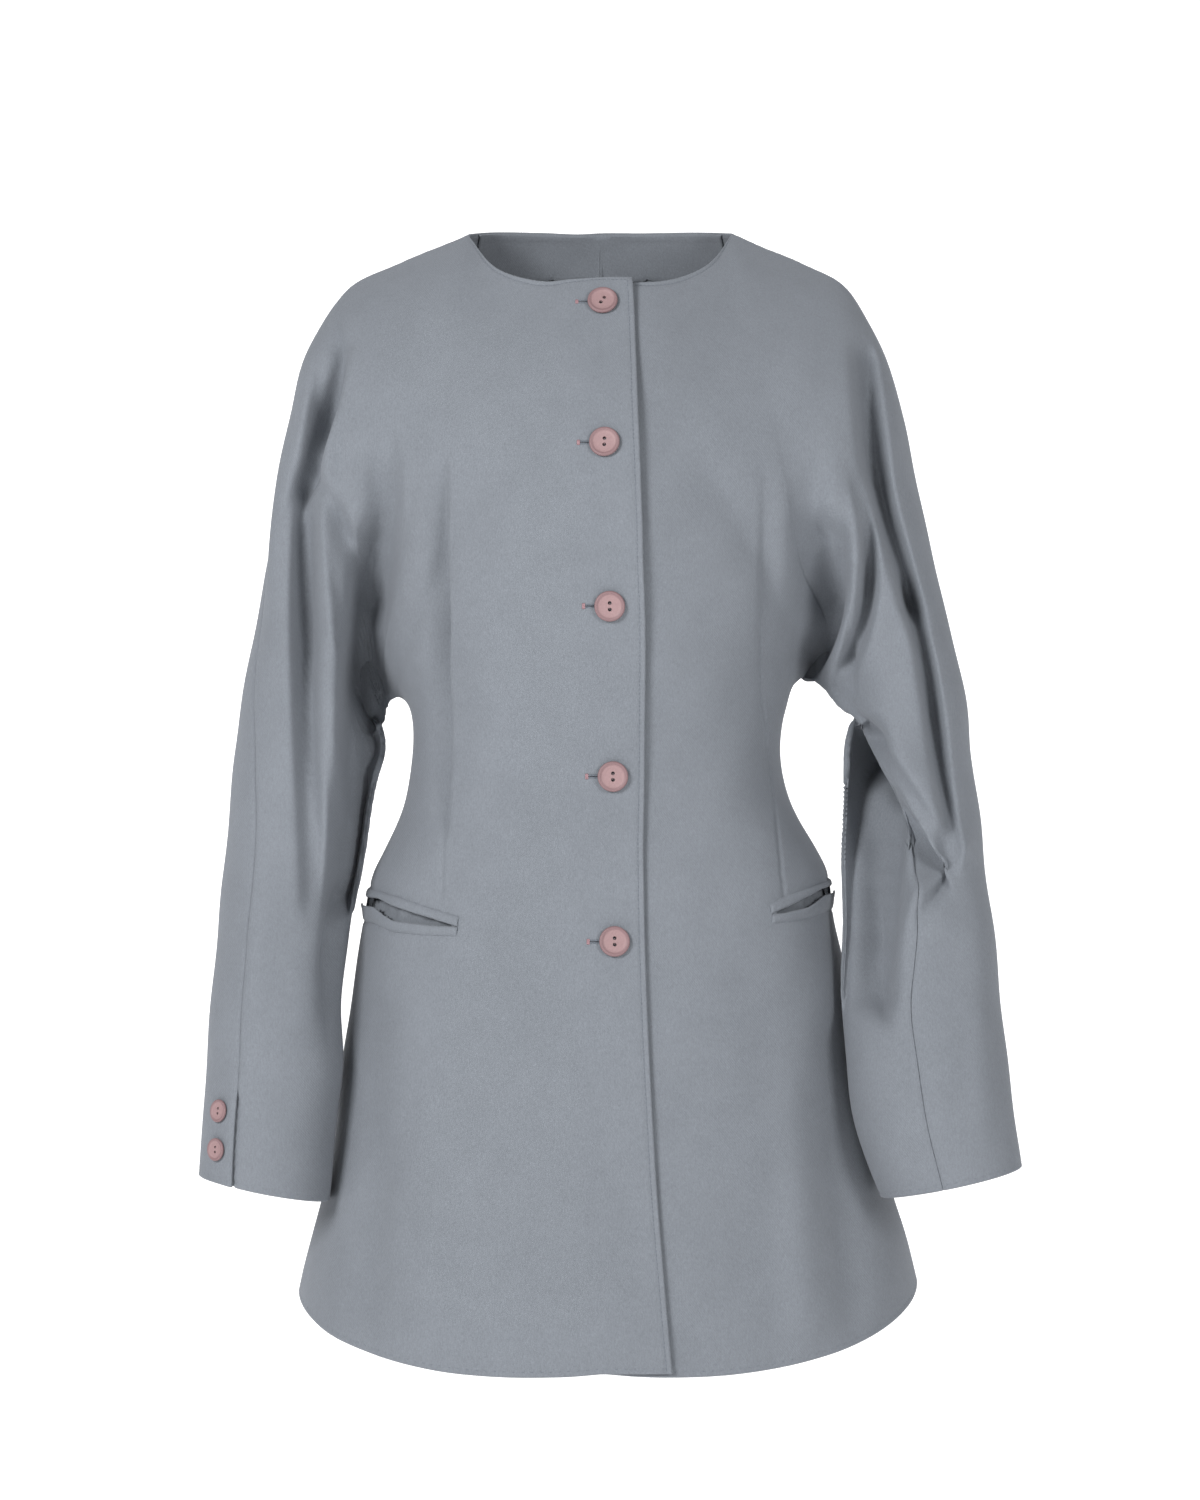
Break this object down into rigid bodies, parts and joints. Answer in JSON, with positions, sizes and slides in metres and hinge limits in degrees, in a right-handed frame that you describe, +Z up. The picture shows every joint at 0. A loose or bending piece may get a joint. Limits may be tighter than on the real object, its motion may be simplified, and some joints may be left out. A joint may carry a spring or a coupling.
{
  "type": "jacket",
  "caption": "Long collarless single-breasted wool jacket with sleeves cut in one with its fronts, a nipped waist, gaping welt pockets and a curved hem.",
  "frame": {"origin": "midpoint between the two neck sides, where the jacket rests on the wearer's shoulders", "axes": "+Z up along the wearer, -Y out of the jacket's front, +X towards the wearer's left sleeve"},
  "size_m": [0.5818, 0.3042, 0.813],
  "materials": {
    "wool": "matte brushed wool twill",
    "button": "matte"
  },
  "bodies": {
    "root": {"right_front": "wool", "right_back": "wool", "left_front": "wool", "left_back": "wool", "back_neck_facing": "wool", "right_pocket_upper_welt": "wool", "right_pocket_lower_welt": "wool", "right_pocket_facing": "wool", "left_pocket_upper_welt": "wool", "left_pocket_lower_welt": "wool", "left_pocket_facing": "wool", "right_cuff_underlap": "wool", "left_cuff_underlap": "wool", "front_button_1": "button", "front_button_2": "button", "front_button_3": "button", "front_button_4": "button", "front_button_5": "button", "right_cuff_button_1": "button", "right_cuff_button_2": "button", "left_cuff_button_1": "button", "left_cuff_button_2": "button"}
  },
  "joints": []
}
